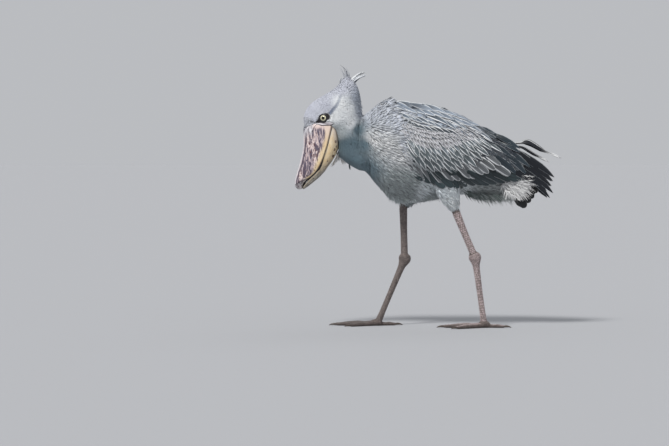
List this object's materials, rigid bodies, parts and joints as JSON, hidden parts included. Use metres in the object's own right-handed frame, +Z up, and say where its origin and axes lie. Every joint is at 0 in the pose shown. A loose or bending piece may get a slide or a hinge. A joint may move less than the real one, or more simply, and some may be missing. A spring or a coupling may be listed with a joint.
{
  "type": "shoebill",
  "caption": "Life-size standing shoebill with its head drawn in, huge hooked bill pointing down, folded wings and long scaly legs in a slow stride.",
  "frame": {"origin": "below the middle of the bird's outline, on the level of its soles", "axes": "+Z up, the bird faces -Y, its left side is +X"},
  "size_m": [0.3022, 0.954, 0.944],
  "materials": {
    "head_plumage": "short, dense feathers, pale blue-grey, matt",
    "body_plumage": "blue-grey feathers with pale edges, loose on the breast and belly",
    "wing_plumage": "slate coverts and scapulars with narrow whitish rims",
    "flight_feathers": "near-black flight and tail feathers with a faint sheen",
    "loose_feathers": "thin loose crest feathers and plumes",
    "bill_horn": "straw to pinkish horn with grey mottling, satin",
    "eye": "pale yellow-grey iris round a black pupil, wet gloss",
    "leg_skin": "grey-brown scaly skin",
    "claw_horn": "dark horn, worn satin"
  },
  "bodies": {
    "root": {"head": "head_plumage", "neck": "body_plumage", "trunk": "body_plumage", "bill_upper": "bill_horn", "bill_lower": "bill_horn", "eye_left": "eye", "eye_right": "eye", "tail": "flight_feathers", "wing_left": "wing_plumage", "primaries_left": "flight_feathers", "thigh_left": "body_plumage", "shank_left": "leg_skin", "tarsus_left": "leg_skin", "foot_left": "leg_skin", "toe_mid_left": "leg_skin", "claw_mid_left": "claw_horn", "toe_inner_left": "leg_skin", "claw_inner_left": "claw_horn", "toe_outer_left": "leg_skin", "claw_outer_left": "claw_horn", "toe_hind_left": "leg_skin", "claw_hind_left": "claw_horn", "wing_right": "wing_plumage", "primaries_right": "flight_feathers", "thigh_right": "body_plumage", "shank_right": "leg_skin", "tarsus_right": "leg_skin", "foot_right": "leg_skin", "toe_mid_right": "leg_skin", "claw_mid_right": "claw_horn", "toe_inner_right": "leg_skin", "claw_inner_right": "claw_horn", "toe_outer_right": "leg_skin", "claw_outer_right": "claw_horn", "toe_hind_right": "leg_skin", "claw_hind_right": "claw_horn", "crest_front": "loose_feathers", "crest_mid": "loose_feathers", "crest_back": "loose_feathers", "plume_long": "loose_feathers", "plume_short": "loose_feathers"}
  },
  "joints": []
}
